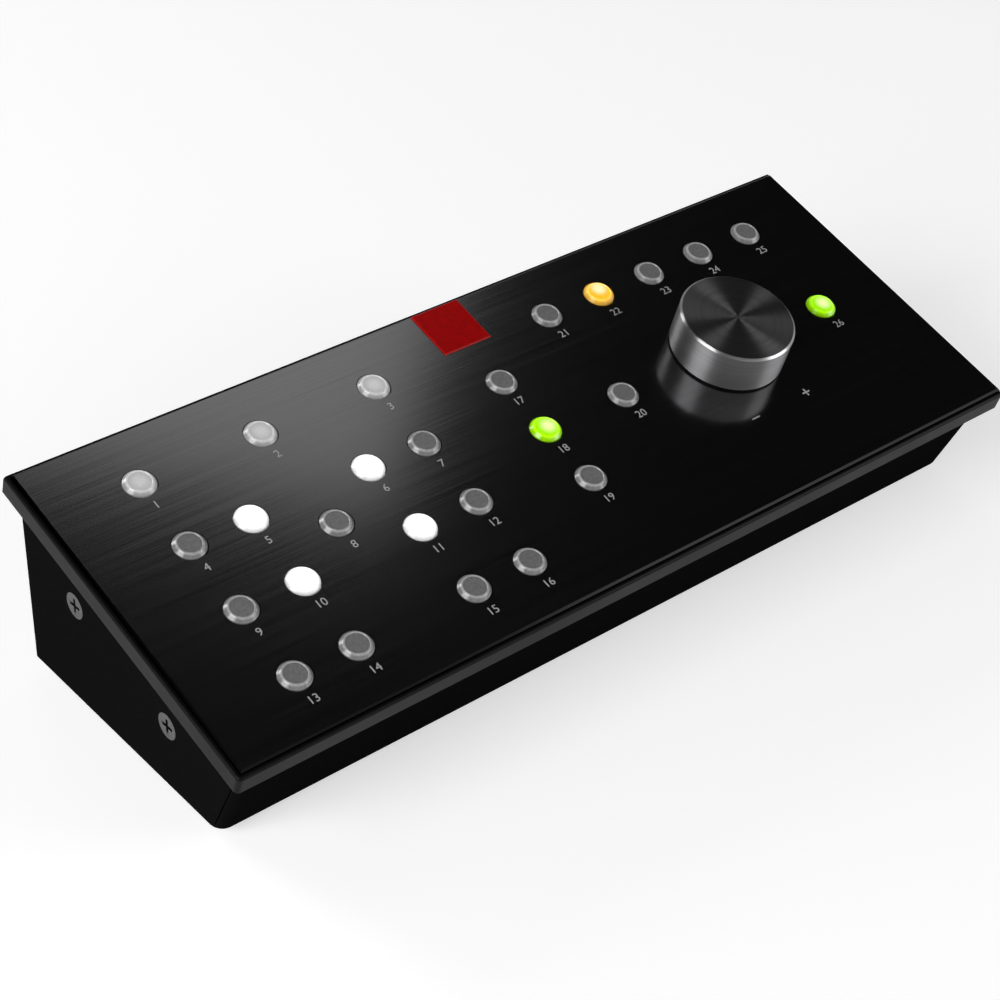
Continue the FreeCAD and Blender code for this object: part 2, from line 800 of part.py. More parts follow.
def build_encoder():
    case = box("Encoder_case", "encoder_side", "encoder_side", f"board_drop - {ENCODER_TOP}")
    half = "encoder_side / 2"
    place_on_panel(case, f"{KNOB_X} - {half}", f"{MIDDLE_ROW} - {half}", "-board_drop")
    well = cylinder("Encoder_well", "shaft_radius + shaft_fit", "board_drop")
    at_knob(well, f"-{SHAFT_LOW}")
    keep(cut("Encoder", case, well), "encoder_body")
    bush = cylinder("Bush_outside", "bush_radius", f"{ENCODER_TOP} + {BUSH_TOP}")
    bore = cylinder("Bush_bore", "shaft_radius + shaft_fit", f"{ENCODER_TOP} + {BUSH_TOP}")
    at_knob(bush, f"-{ENCODER_TOP}")
    at_knob(bore, f"-{ENCODER_TOP}")
    keep(cut("Bush", bush, bore), "encoder_bush")
    washer = cylinder("Washer_outside", "washer_radius", "washer_thick")
    washer_hole = cylinder("Washer_hole", "bush_radius + shaft_fit", "washer_thick")
    at_knob(washer, PLATE_TOP)
    at_knob(washer_hole, PLATE_TOP)
    keep(cut("Washer", washer, washer_hole), "encoder_washer")
    nut = hexagon("Nut_outside", "encoder_nut_corner", "encoder_nut_thick")
    nut_hole = cylinder("Nut_hole", "bush_radius + shaft_fit", "encoder_nut_thick")
    at_knob(nut, f"{PLATE_TOP} + washer_thick")
    at_knob(nut_hole, f"{PLATE_TOP} + washer_thick")
    keep(cut("Nut", nut, nut_hole), "encoder_nut")
    rod = cylinder("Shaft_rod", "shaft_radius", f"{SHAFT_LOW} + {SHAFT_TOP} - encoder_gap")
    at_knob(rod, f"encoder_gap - {SHAFT_LOW}")
    keep(cut("Shaft", rod, shaft_flat("Shaft_flat", "0")), "encoder_shaft")


def shaft_flat(name, clearance):
    """The block that flattens one side of the shaft's top."""
    block = box(name, "2 * shaft_radius", "shaft_radius", "2 * shaft_flat_length")
    v = f"({MIDDLE_ROW} + shaft_flat + ({clearance}))"
    return place_on_panel(block, f"{KNOB_X} - shaft_radius", v, f"{SHAFT_TOP} - shaft_flat_length")


# Volume knob: a turned aluminium shell over a moulded hub with a flatted bore


def build_knob():
    shell = revolve("Knob_shell", [
        ("0", "knob_height - knob_roof"),
        ("knob_radius - knob_wall", "knob_height - knob_roof"),
        ("knob_radius - knob_wall", "0"),
        ("knob_radius", "0"),
        ("knob_radius", "knob_height - knob_chamfer"),
        ("knob_radius - knob_chamfer", "knob_height"),
        ("0", "knob_height"),
    ])
    keep(at_knob(shell, KNOB_LOW), "knob_shell")
    hub_low = "washer_thick"
    hub_high = "(knob_height - knob_roof)"
    step = f"({hub_low} + hub_recess_depth)"
    outer = "(knob_radius - knob_wall)"
    hub = revolve("Knob_hub", [
        ("0", step),
        ("hub_recess_radius", step),
        ("hub_recess_radius", hub_low),
        ("hub_radius", hub_low),
        ("hub_radius", f"{hub_high} - knob_roof"),
        (outer, f"{hub_high} - knob_roof"),
        (outer, hub_high),
        ("0", hub_high),
    ])
    at_knob(hub, KNOB_LOW)
    bore_depth = f"{hub_high} - {step} - shaft_cover + 2 * shaft_fit"
    bore = cylinder("Hub_bore", "shaft_radius + shaft_fit", bore_depth)
    at_knob(bore, f"{KNOB_LOW} + {step} - shaft_fit")
    keep(cut("Hub", hub, cut("Hub_socket", bore, shaft_flat("Hub_flat", "shaft_fit"))), "knob_hub")


# Feet: rubber discs screwed to the floor near its corners

FOOT_X = f"({BODY_HALF} - foot_inset)"
FRONT_FOOT = front_face("-body_drop")
FEET = [
    (x, y)
    for x in ("-" + FOOT_X, FOOT_X)
    for y in (f"({FRONT_FOOT} + foot_inset)", f"({REAR_FACE} - foot_inset)")
]


def build_feet():
    feet = []
    screws = []
    nuts = []
    floor = "-body_drop"
    foot_low = "-(body_drop + foot_height)"
    head_low = "(foot_bore_depth - foot_head_height - body_drop - foot_height)"
    shank = "(foot_height - foot_bore_depth + pan_sheet + foot_nut_thick)"
    for index, (x, y) in enumerate(FEET, start=1):
        disc = cone(f"Foot_disc_{index}", "foot_radius - foot_taper", "foot_radius", "foot_height")
        bore = cylinder(f"Foot_bore_{index}", "foot_bore_radius", "foot_bore_depth")
        hole = cylinder(f"Foot_hole_{index}", "foot_thread_radius + screw_clearance", "foot_height")
        for solid in (disc, bore, hole):
            place(solid, x, y, foot_low)
        feet.append(cut(f"Foot_{index}", disc, fuse(f"Foot_opening_{index}", [bore, hole])))
        head = cylinder(f"Foot_head_{index}", "foot_head_radius", "foot_head_height")
        rod = cylinder(f"Foot_rod_{index}", "foot_thread_radius", shank)
        place(head, x, y, head_low)
        place(rod, x, y, f"{head_low} + foot_head_height")
        screws.append(fuse(f"Foot_screw_{index}", [head, rod]))
        nut = hexagon(f"Foot_nut_{index}", "foot_nut_corner", "foot_nut_thick")
        thread = cylinder(f"Foot_thread_{index}", "foot_thread_radius + shaft_fit", "foot_nut_thick")
        place(nut, x, y, f"{floor} + pan_sheet")
        place(thread, x, y, f"{floor} + pan_sheet")
        nuts.append(cut(f"Foot_nut_ring_{index}", nut, thread))
    group("rubber_feet", feet)
    group("foot_screws", screws)
    group("foot_nuts", nuts)


# Data socket: an eight-way modular jack on a small board, its mouth through the rear wall

SMALL_BOARD_LOW = "(pan_sheet + small_board_lift - body_drop)"
SMALL_BOARD_TOP = f"({SMALL_BOARD_LOW} + board_thick)"
SOCKET_BOTTOM = SMALL_BOARD_TOP
SOCKET_FACE = f"({REAR_FACE} + socket_proud)"
SMALL_BOARD_BACK = f"({REAR_FACE} - pan_sheet - socket_hole_clearance)"
SMALL_BOARD_FRONT = f"({SMALL_BOARD_BACK} - small_board_depth)"
SMALL_POSTS = [
    (x, y)
    for x in ("(small_post_inset - small_board_width / 2)", "(small_board_width / 2 - small_post_inset)")
    for y in (f"({SMALL_BOARD_FRONT} + small_post_inset)", f"({SMALL_BOARD_BACK} - small_post_inset)")
]


def build_socket():
    body = new_body("DataSocket")
    block = new_sketch(body, "DataSocket_block", "XY_Plane")
    half = "(socket_width / 2)"
    draw_outline(block, rectangle("-" + half, half, "-socket_depth", "0"))
    add_pad(body, block, "socket_height")
    mouth = new_sketch(body, "DataSocket_mouth", "XZ_Plane")
    mouth_half = "(socket_mouth_width / 2)"
    mouth_top = "(socket_mouth_lift + socket_mouth_height)"
    draw_outline(mouth, rectangle("-" + mouth_half, mouth_half, "socket_mouth_lift", mouth_top))
    add_pocket(body, mouth, "2 * socket_mouth_depth", midplane=True)
    keep(place(body, "0", SOCKET_FACE, SOCKET_BOTTOM), "data_socket")
    contacts = []
    for index in range(int(SIZES["contact_count"])):
        contact = box(f"Contact_{index}", "contact_width", "contact_length", "contact_thick")
        x = f"({index} - (contact_count - 1) / 2) * contact_pitch - contact_width / 2"
        y = f"{SOCKET_FACE} - socket_mouth_depth"
        z = f"{SOCKET_BOTTOM} + {mouth_top} - contact_thick"
        contacts.append(place(contact, x, y, z))
    group("socket_contacts", contacts)
    board = new_body("SocketBoard")
    sketch = new_sketch(board, "SocketBoard_outline", "XY_Plane")
    board_half = "(small_board_width / 2)"
    draw_outline(sketch, rectangle("-" + board_half, board_half, SMALL_BOARD_FRONT, SMALL_BOARD_BACK))
    for x, y in SMALL_POSTS:
        draw_circle(sketch, x, y, "small_thread_radius + screw_clearance")
    add_pad(board, sketch, "board_thick")
    keep(place(board, "0", "0", SMALL_BOARD_LOW), "socket_board")
    posts = []
    screws = []
    for index, (x, y) in enumerate(SMALL_POSTS, start=1):
        post = cylinder(f"Small_post_{index}", "small_post_radius", "small_board_lift")
        bore = cylinder(f"Small_bore_{index}", "small_thread_radius + shaft_fit", "small_board_lift")
        for solid in (post, bore):
            place(solid, x, y, "pan_sheet - body_drop")
        posts.append(cut(f"Socket_post_{index}", post, bore))
        head = cylinder(f"Small_head_{index}", "small_head_radius", "small_head_height")
        rod = cylinder(f"Small_rod_{index}", "small_thread_radius", "board_thick + small_board_lift")
        place(head, x, y, SMALL_BOARD_TOP)
        place(rod, x, y, "pan_sheet - body_drop")
        screws.append(fuse(f"Socket_screw_{index}", [head, rod]))
    group("socket_posts", posts)
    group("socket_screws", screws)


# Ribbon cable: a slack fold between a header on each board


HEADER_V = "(lid_depth - header_setback)"


def build_ribbon():
    header_n = f"-({BOARD_UNDER} + header_height)"
    low_y = panel_y(HEADER_V, header_n)
    low_header = box("Low_header", "header_length", "header_depth", "header_height")
    place(low_header, "-header_length / 2", f"{low_y} - header_depth / 2", SMALL_BOARD_TOP)
    high_header = box("High_header", "header_length", "header_depth", "header_height")
    place_on_panel(high_header, "-header_length / 2", f"{HEADER_V} - header_depth / 2", header_n)
    group("ribbon_headers", [low_header, high_header])
    body = new_body("Ribbon")
    sketch = new_sketch(body, "Ribbon_fold", "YZ_Plane")
    start = f"({SMALL_BOARD_TOP} + header_height)"
    end = f"({panel_z(HEADER_V, header_n)} - header_depth * sin(lid_tilt) / 2)"
    middle = f"(({start} + {end}) / 2)"
    left = f"({low_y} - ribbon_thick / 2)"
    slack = f"({left} - ribbon_slack)"
    bends = [
        (left, start),
        (left, f"{start} + ribbon_rise"),
        (slack, middle),
        (left, f"{end} - ribbon_rise"),
        (left, end),
    ]
    back = [(f"{y} + ribbon_thick", z) for y, z in reversed(bends)]
    draw_outline(sketch, bends + back)
    add_pad(body, sketch, "ribbon_width", midplane=True)
    keep(place(body, "0", "0", "0"), "ribbon_cable")


# The whole object

build_faceplate()
build_badge()
build_lid_pan()
build_base_pan()
build_side_screws()
build_bracket("bracket_left", -1)
build_bracket("bracket_right", 1)
for button_index, (button_x, button_v) in enumerate(BUTTONS, start=1):
    build_button(button_index, button_x, button_v)
build_switches()
build_control_board()
build_encoder()
build_knob()
build_feet()
build_socket()
build_ribbon()

doc.recompute()
for thing in doc.Objects:
    if "Invalid" in thing.State or "Error" in thing.State:
        raise RuntimeError(thing.Name + " failed: " + str(thing.State))
for thing in exported:
    if thing.Shape.isNull() or not thing.Shape.isValid():
        raise RuntimeError(thing.Label + " has no valid shape")

os.makedirs("parts", exist_ok=True)
for thing in exported:
    thing.Shape.exportStep(f"parts/{thing.Label}.step")
print(len(exported), "nodes")
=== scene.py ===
import math

import bpy
import numpy as np
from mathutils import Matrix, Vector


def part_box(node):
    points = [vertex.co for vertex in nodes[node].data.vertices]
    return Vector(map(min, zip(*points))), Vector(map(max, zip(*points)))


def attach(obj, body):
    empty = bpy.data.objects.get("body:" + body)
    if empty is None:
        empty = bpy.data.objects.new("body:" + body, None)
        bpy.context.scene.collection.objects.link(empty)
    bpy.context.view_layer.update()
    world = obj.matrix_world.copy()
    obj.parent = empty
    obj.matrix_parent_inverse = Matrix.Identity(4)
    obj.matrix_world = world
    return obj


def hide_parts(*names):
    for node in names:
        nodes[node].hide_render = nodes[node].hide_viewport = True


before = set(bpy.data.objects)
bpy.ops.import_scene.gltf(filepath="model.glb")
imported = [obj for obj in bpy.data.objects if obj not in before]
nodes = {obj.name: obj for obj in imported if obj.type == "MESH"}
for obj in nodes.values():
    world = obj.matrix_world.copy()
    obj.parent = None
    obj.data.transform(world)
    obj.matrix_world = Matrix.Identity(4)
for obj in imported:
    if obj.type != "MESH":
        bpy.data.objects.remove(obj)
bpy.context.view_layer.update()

# The camera stands in front of the controller, to its left and above it, and looks across
# the panel with a long lens.

camera_data = bpy.data.cameras.new("camera")
camera_data.sensor_width = 36.0
camera_data.lens = 83.745
camera_data.clip_start = 0.01
camera_data.clip_end = 50.0
camera = bpy.data.objects.new("camera", camera_data)
camera.location = (-0.3783, -0.41318, 0.42963)
camera.rotation_euler = [math.radians(a) for a in (54.24, -1.919, -39.943)]
bpy.context.scene.collection.objects.link(camera)
bpy.context.scene.camera = camera
bpy.context.scene.view_settings.view_transform = "Standard"

# The desk is a pale matt sheet that runs out of sight under a sky that is white near the
# horizon and dark overhead. Soft lamps stand high at the back right, at the left, low at the
# front right and behind, where the brushed plate and the turned knob mirror them.

FLOOR_REACH = 6.0
FLOOR_COLOUR = (0.62, 0.62, 0.62)
LAMP_AIM = (0.0, 0.0, 0.05)

# the desk's own light by distance, so that it stays white far away, and the sky's by height
LIFT_REACH, LIFT = (0.5, 1.8), (0.56, 1.0)
SKY_EDGE, SKY_LEVEL = (0.25, 0.42), (1.0, 0.008)


def set_sockets(tree, node, sockets):
    """Sets a node's inputs, or links them where a socket is given."""
    for key, value in sockets.items():
        if isinstance(value, bpy.types.NodeSocket):
            tree.links.new(value, node.inputs[key])
        else:
            node.inputs[key].default_value = value


def fed(tree, kind, sockets=None, **settings):
    """A shader node with its settings made and its inputs set or linked."""
    node = tree.nodes.new(kind)
    for key, value in settings.items():
        setattr(node, key, value)
    set_sockets(tree, node, sockets or {})
    return node


def maths(tree, operation, *values):
    """A node that works on numbers."""
    return fed(tree, "ShaderNodeMath", dict(enumerate(values)), operation=operation)


def vectors(tree, operation, *values):
    """A node that works on vectors or colours."""
    return fed(tree, "ShaderNodeVectorMath", dict(enumerate(values)), operation=operation)


def ramp(tree, value, source=(0.0, 1.0), target=(0.0, 1.0), **settings):
    """A node that carries one range of a number to another and stops at its ends."""
    return fed(tree, "ShaderNodeMapRange", {"Value": value, "From Min": source[0], "From Max": source[1],
                                            "To Min": target[0], "To Max": target[1]}, **settings)


def noise(tree, vector, scale, detail, **more):
    """A noise texture."""
    sockets = {"Vector": vector, "Scale": scale, "Detail": detail}
    return fed(tree, "ShaderNodeTexNoise", {**sockets, **more})


def bumps(tree, height, strength, distance):
    """A bump node."""
    return fed(tree, "ShaderNodeBump", {"Height": height, "Strength": strength, "Distance": distance})


def blend(tree, factor, low, high):
    """A node that mixes two colours."""
    return fed(tree, "ShaderNodeMix", {"Factor": factor, 6: low, 7: high}, data_type="RGBA")


def new_finish(name):
    """An empty material, its node tree and its shader."""
    material = bpy.data.materials.new(name)
    material.use_nodes = True
    tree = material.node_tree
    tree.nodes.clear()
    shader = fed(tree, "ShaderNodeBsdfPrincipled")
    out = fed(tree, "ShaderNodeOutputMaterial")
    tree.links.new(shader.outputs[0], out.inputs["Surface"])
    return material, tree, shader


def mesh_of(name, points, faces):
    """A piece in the scene from an array of points and a list of each face's corners."""
    mesh = bpy.data.meshes.new(name)
    mesh.from_pydata(points.tolist(), [], faces)
    piece = bpy.data.objects.new(name, mesh)
    bpy.context.scene.collection.objects.link(piece)
    return piece


desk_corners = FLOOR_REACH * np.array([[-1, -1, 0], [1, -1, 0], [1, 1, 0], [-1, 1, 0]], float)
desk = mesh_of("desk", desk_corners, [[0, 1, 2, 3]])
desk_paint, tree, shader = new_finish("desk_paint")
coord = fed(tree, "ShaderNodeTexCoord")
cloud = noise(tree, coord.outputs["Object"], 3.0, 2.0)
tone = ramp(tree, cloud.outputs[0], target=(0.985, 1.0))
wash = vectors(tree, "MULTIPLY", FLOOR_COLOUR, tone.outputs[0])
path = fed(tree, "ShaderNodeLightPath")
seen = maths(tree, "MAXIMUM", path.outputs["Is Camera Ray"], path.outputs["Is Glossy Ray"])
seen = maths(tree, "MAXIMUM", seen.outputs[0], path.outputs["Is Transmission Ray"])
far = vectors(tree, "LENGTH", coord.outputs["Object"])
pale = ramp(tree, far.outputs["Value"], LIFT_REACH, LIFT)
lift = maths(tree, "MULTIPLY", seen.outputs[0], pale.outputs[0])
set_sockets(tree, shader, {"Base Color": wash.outputs[0], "Roughness": 0.9, "Specular IOR Level": 0.0,
                           "Emission Color": (1, 1, 1, 1), "Emission Strength": lift.outputs[0]})
desk.data.materials.append(desk_paint)

world = bpy.data.worlds.new("studio")
bpy.context.scene.world = world
world.use_nodes = True
tree = world.node_tree
tree.nodes.clear()
sky = fed(tree, "ShaderNodeTexCoord")
up = fed(tree, "ShaderNodeSeparateXYZ", {0: sky.outputs["Generated"]})
dome = ramp(tree, up.outputs["Z"], SKY_EDGE, SKY_LEVEL)
air = fed(tree, "ShaderNodeBackground", {"Color": (1, 1, 1, 1), "Strength": dome.outputs[0]})
fed(tree, "ShaderNodeOutputWorld", {"Surface": air.outputs[0]})


def soft_lamp(name, place, size, watts):
    """A rectangular lamp that faces the controller."""
    data = bpy.data.lights.new(name, "AREA")
    data.shape = "RECTANGLE"
    data.size, data.size_y = size
    data.energy = watts
    lamp = bpy.data.objects.new(name, data)
    lamp.location = place
    toward = np.array(LAMP_AIM) - np.array(place)
    turn = math.atan2(toward[1], toward[0]) - math.pi / 2
    dip = math.acos(-toward[2] / np.linalg.norm(toward))
    lamp.rotation_euler = (dip, 0.0, turn)
    bpy.context.scene.collection.objects.link(lamp)


soft_lamp("lamp_back", (0.58, 0.86, 1.28), (0.9, 0.7), 1.05)
soft_lamp("lamp_left", (-1.3, -0.2, 0.8), (0.9, 0.7), 17.0)
soft_lamp("lamp_right", (1.1, -1.05, 0.55), (0.9, 0.8), 9.0)
soft_lamp("lamp_rim", (-0.5, 1.25, 0.6), (0.4, 0.5), 5.0)

# The lid is one folded sheet of black powder-coated steel, with flanges turned down at
# the front and both sides, bent on a small radius. Its coat is satin with a fine grain.

# the lid's tilt, half the whole depth, and the height of the lid's front edge over the desk
TILT = math.radians(16.1)
HALF_DEPTH = 0.0548987
FRONT_EDGE = 0.0365
COAT_WEAR, METAL_WEAR = 0.0004, 0.0002
NOISE_SPREAD = (0.3, 0.7)


def on_panel(x, v, n):
    """World points for x across, v up the slope from the lid's front edge and n out of its top."""
    x, v, n = np.broadcast_arrays(x, v, n)
    return np.stack([x, v * math.cos(TILT) - n * math.sin(TILT) - HALF_DEPTH,
                     v * math.sin(TILT) + n * math.cos(TILT) + FRONT_EDGE], axis=-1)


OUTWARD = tuple(on_panel(0.0, 0.0, 1.0) - on_panel(0.0, 0.0, 0.0))


def new_effect(name, inputs, outputs):
    """An empty node group with number or vector inputs and outputs, and its two end nodes."""
    group = bpy.data.node_groups.new(name, "ShaderNodeTree")
    for label, kind, value in inputs:
        socket = group.interface.new_socket(label, in_out="INPUT", socket_type=kind)
        if value is not None:
            socket.default_value = value
    for label, kind in outputs:
        group.interface.new_socket(label, in_out="OUTPUT", socket_type=kind)
    start = group.nodes.new("NodeGroupInput")
    end = group.nodes.new("NodeGroupOutput")
    return group, start, end


def use_effect(tree, group, sockets=None):
    """Places a node group in a material with its own values."""
    return fed(tree, "ShaderNodeGroup", sockets, node_tree=group)


# fine grain of a sprayed or moulded skin: tone for the colour, height for the bump
skin_grain, start, end = new_effect(
    "skin_grain", [("Scale", "NodeSocketFloat", 1500.0)],
    [("Tone", "NodeSocketFloat"), ("Height", "NodeSocketFloat"), ("Smudge", "NodeSocketFloat")])
coord = fed(skin_grain, "ShaderNodeTexCoord")
pebble = noise(skin_grain, coord.outputs["Object"], start.outputs["Scale"], 3.0)
smear = noise(skin_grain, coord.outputs["Object"], 28.0, 4.0)
tone = ramp(skin_grain, pebble.outputs[0], NOISE_SPREAD, (0.85, 1.15))
for socket, value in (("Tone", tone), ("Height", pebble), ("Smudge", smear)):
    skin_grain.links.new(value.outputs[0], end.inputs[socket])

# a ragged band along edges, from how far the rounded normal turns from the true one: rubbed wear on most
# finishes, a painted highlight on the badge and a darker edge on the faceplate
ragged_edges, start, end = new_effect(
    "ragged_edges", [("Reach", "NodeSocketFloat", 0.0004), ("Least", "NodeSocketFloat", 0.02),
                  ("Most", "NodeSocketFloat", 0.25)], [("Mask", "NodeSocketFloat")])
rounded = fed(ragged_edges, "ShaderNodeBevel", {"Radius": start.outputs["Reach"]}, samples=4)
shape = fed(ragged_edges, "ShaderNodeNewGeometry")
match = vectors(ragged_edges, "DOT_PRODUCT", rounded.outputs[0], shape.outputs["Normal"])
turned = maths(ragged_edges, "SUBTRACT", 1.0, match.outputs["Value"])
coord = fed(ragged_edges, "ShaderNodeTexCoord")
ragged = noise(ragged_edges, coord.outputs["Object"], 420.0, 4.0)
ragged = ramp(ragged_edges, ragged.outputs[0], (0.35, 0.65), (0.35, 1.0))
band = ramp(ragged_edges, turned.outputs[0], (start.outputs["Least"], start.outputs["Most"]))
mask = maths(ragged_edges, "MULTIPLY", band.outputs[0], ragged.outputs[0])
ragged_edges.links.new(mask.outputs[0], end.inputs["Mask"])


def skinned(name, colour, edge_tone, gloss, grain, bump, reach, smear=NOISE_SPREAD, **sockets):
    """A grained skin, a little smudged, with another tone along its edges: rubbed wear, and on the badge a
    painted highlight.
    """
    material, tree, shader = new_finish(name)
    skin = use_effect(tree, skin_grain, {"Scale": grain})
    edge_mask = use_effect(tree, ragged_edges, {"Reach": reach})
    base = vectors(tree, "MULTIPLY", colour, skin.outputs["Tone"])
    paint = blend(tree, edge_mask.outputs["Mask"], base.outputs[0], (*edge_tone, 1.0))
    shine = ramp(tree, skin.outputs["Smudge"], smear, gloss)
    dents = bumps(tree, skin.outputs["Height"], *bump)
    set_sockets(tree, shader, {"Base Color": paint.outputs[2], "Roughness": shine.outputs[0],
                               "Normal": dents.outputs[0], **sockets})
    return material


def coated(name, colour, edge_tone, roughness, grain, bump, specular):
    """A sprayed or moulded skin."""
    return skinned(name, colour, edge_tone, (roughness - 0.05, roughness + 0.07), grain, (bump, 0.0001),
                   COAT_WEAR, **{"Specular IOR Level": specular})


def dress(material, *names):
    """Gives CAD nodes or new pieces their finish."""
    for name in names:
        piece = nodes[name] if isinstance(name, str) else name
        piece.data.materials.clear()
        piece.data.materials.append(material)


lid_coat = coated("lid_coat", (0.004, 0.004, 0.0042), (0.05, 0.05, 0.0505), 0.38, 1600.0, 0.2, 0.08)
dress(lid_coat, "lid_pan")

# Two zinc-plated angle brackets stand inside the lid's side flanges, with press nuts
# that the side screws pull the base pan against.

ZINC = (0.52, 0.53, 0.55)


def plated(name, colour, roughness, grain):
    """Plated or turned metal with a fine mottle and slightly brighter rubbed edges."""
    edge_tone = [min(1.0, 1.35 * c) for c in colour]
    return skinned(name, colour, edge_tone, (roughness - 0.06, roughness + 0.08), grain, (0.1, 0.00005),
                   METAL_WEAR, Metallic=1.0)


zinc = plated("zinc", ZINC, 0.34, 900.0)
dress(zinc, "bracket_left", "bracket_right", "press_nuts")

# The control board hangs under the lid on turned posts. It is fibreglass under a green
# mask and carries one push switch and one small lamp for each cap.

BOARD_COLOUR = (0.012, 0.09, 0.035, 1.0)
TRACK_COLOUR = (0.02, 0.16, 0.06, 1.0)

board_mask, tree, shader = new_finish("board_mask")
coord = fed(tree, "ShaderNodeTexCoord")
lanes = fed(tree, "ShaderNodeTexBrick", {
    "Vector": coord.outputs["Object"], "Scale": 260.0, "Mortar Size": 0.018,
    "Color1": BOARD_COLOUR, "Color2": BOARD_COLOUR, "Mortar": TRACK_COLOUR})
skin = use_effect(tree, skin_grain, {"Scale": 700.0})
gloss = ramp(tree, skin.outputs["Smudge"], target=(0.3, 0.5))
ridges = bumps(tree, lanes.outputs["Fac"], 0.3, 0.00004)
set_sockets(tree, shader, {"Base Color": lanes.outputs["Color"], "Roughness": gloss.outputs[0],
                           "Normal": ridges.outputs[0]})
black_moulding = coated("black_moulding", (0.02, 0.02, 0.021), (0.05, 0.05, 0.05), 0.5, 1100.0, 0.3, 0.5)
lamp_lens = coated("lamp_lens", (0.82, 0.81, 0.74), (0.9, 0.9, 0.86), 0.3, 800.0, 0.1, 0.5)
dress(board_mask, "control_board", "socket_board")
dress(zinc, "board_posts", "board_screws")
dress(black_moulding, "tact_switches")
dress(lamp_lens, "button_lamps")

# The rotary encoder is a moulded block with a brass bush through the lid, clamped by a
# thin washer and a nut, and a steel shaft with a flat for the knob.

brass = plated("turned_brass", (0.62, 0.44, 0.17), 0.3, 900.0)
dress(black_moulding, "encoder_body")
dress(brass, "encoder_bush")
dress(zinc, "encoder_washer", "encoder_nut", "encoder_shaft")

# The faceplate is a thin aluminium sheet with a milled bevel, brushed along its length
# and anodised black, so it mirrors softly and its reflections carry fine streaks.

PLATE_TOP = 0.0015
PLATE_COLOUR = (0.3, 0.3, 0.303)
PLATE_GLOSS = (0.12, 0.17)
STROKE_SPREAD = (0.45, 0.9)
# painted shade: faces of the plate turned away from its top, its bevel and sides, keep only a small share of
# its tone
SIDE_SHADE_FACING, SIDE_SHADE_SHARE = (0.97, 0.99), (0.03, 1.0)
GRAZING_TINT = (0.25, 0.25, 0.25, 1.0)

# brushed strokes: long along one axis, hair-fine across it
brush_strokes, start, end = new_effect(
    "brush_strokes", [("Along", "NodeSocketFloat", 14.0), ("Across", "NodeSocketFloat", 2600.0)],
    [("Stroke", "NodeSocketFloat"), ("Band", "NodeSocketFloat")])
coord = fed(brush_strokes, "ShaderNodeTexCoord")
split = fed(brush_strokes, "ShaderNodeSeparateXYZ", {0: coord.outputs["Object"]})
slope = vectors(brush_strokes, "DOT_PRODUCT", coord.outputs["Object"], (0.0, math.cos(TILT), math.sin(TILT)))
length = maths(brush_strokes, "MULTIPLY", split.outputs["X"], start.outputs["Along"])
width = maths(brush_strokes, "MULTIPLY", slope.outputs["Value"], start.outputs["Across"])
stretched = fed(brush_strokes, "ShaderNodeCombineXYZ", {0: length.outputs[0], 1: width.outputs[0]})
stroke = noise(brush_strokes, stretched.outputs[0], 1.0, 3.0, Roughness=0.6)
wide = vectors(brush_strokes, "MULTIPLY", stretched.outputs[0], (0.6, 0.16, 1.0))
band = noise(brush_strokes, wide.outputs[0], 1.0, 2.0)
brush_strokes.links.new(stroke.outputs[0], end.inputs["Stroke"])
brush_strokes.links.new(band.outputs[0], end.inputs["Band"])

anodised, tree, shader = new_finish("black_anodised")
strokes = use_effect(tree, brush_strokes)
edge_mask = use_effect(tree, ragged_edges, {"Reach": 0.0003, "Least": 0.05, "Most": 0.4})
mixed = maths(tree, "MULTIPLY_ADD", strokes.outputs["Band"], 0.35, strokes.outputs["Stroke"])
tone = ramp(tree, mixed.outputs[0], STROKE_SPREAD, (0.85, 1.15))
coord = fed(tree, "ShaderNodeTexCoord")
# painted shade on the plate's bevel and sides, by how far they face away from its top
flat = vectors(tree, "DOT_PRODUCT", coord.outputs["Normal"], OUTWARD)
rim = ramp(tree, flat.outputs["Value"], SIDE_SHADE_FACING, SIDE_SHADE_SHARE)
tone = maths(tree, "MULTIPLY", tone.outputs[0], rim.outputs[0])
base = vectors(tree, "MULTIPLY", PLATE_COLOUR, tone.outputs[0])
# the plate is painted darker along its edges
paint = blend(tree, edge_mask.outputs["Mask"], base.outputs[0], (0.02, 0.02, 0.0205, 1.0))
gloss = ramp(tree, mixed.outputs[0], STROKE_SPREAD, PLATE_GLOSS)
hair = bumps(tree, strokes.outputs["Stroke"], 0.08, 0.00002)
set_sockets(tree, shader, {"Base Color": paint.outputs[2], "Roughness": gloss.outputs[0],
                           "Normal": hair.outputs[0], "Metallic": 1.0, "Specular Tint": GRAZING_TINT})
dress(anodised, "faceplate")

# Numbers are printed in pale grey ink on the plate, one in front of each cap, and a minus
# and a plus in front of the knob.

CAP_COUNT = 26
MARK_HEIGHT = 0.0026
DIGIT_SHARE = 0.7
MARK_DROP = 0.0085
INK_THICK = 0.00002
KNOB_MARKS = (("–", 0.0617), ("+", 0.0837))
KNOB_MARK_V, KNOB_MARK_HEIGHT = 0.0297, 0.0042

marks = []
for index in range(1, CAP_COUNT + 1):
    low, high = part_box(f"button_{index:02d}")
    middle = (np.array(low) + np.array(high)) / 2
    slope_place = (middle[1] + HALF_DEPTH) * math.cos(TILT) + (middle[2] - FRONT_EDGE) * math.sin(TILT)
    marks.append((str(index), middle[0], slope_place - MARK_DROP))
marks += [(text, x, KNOB_MARK_V) for text, x in KNOB_MARKS]


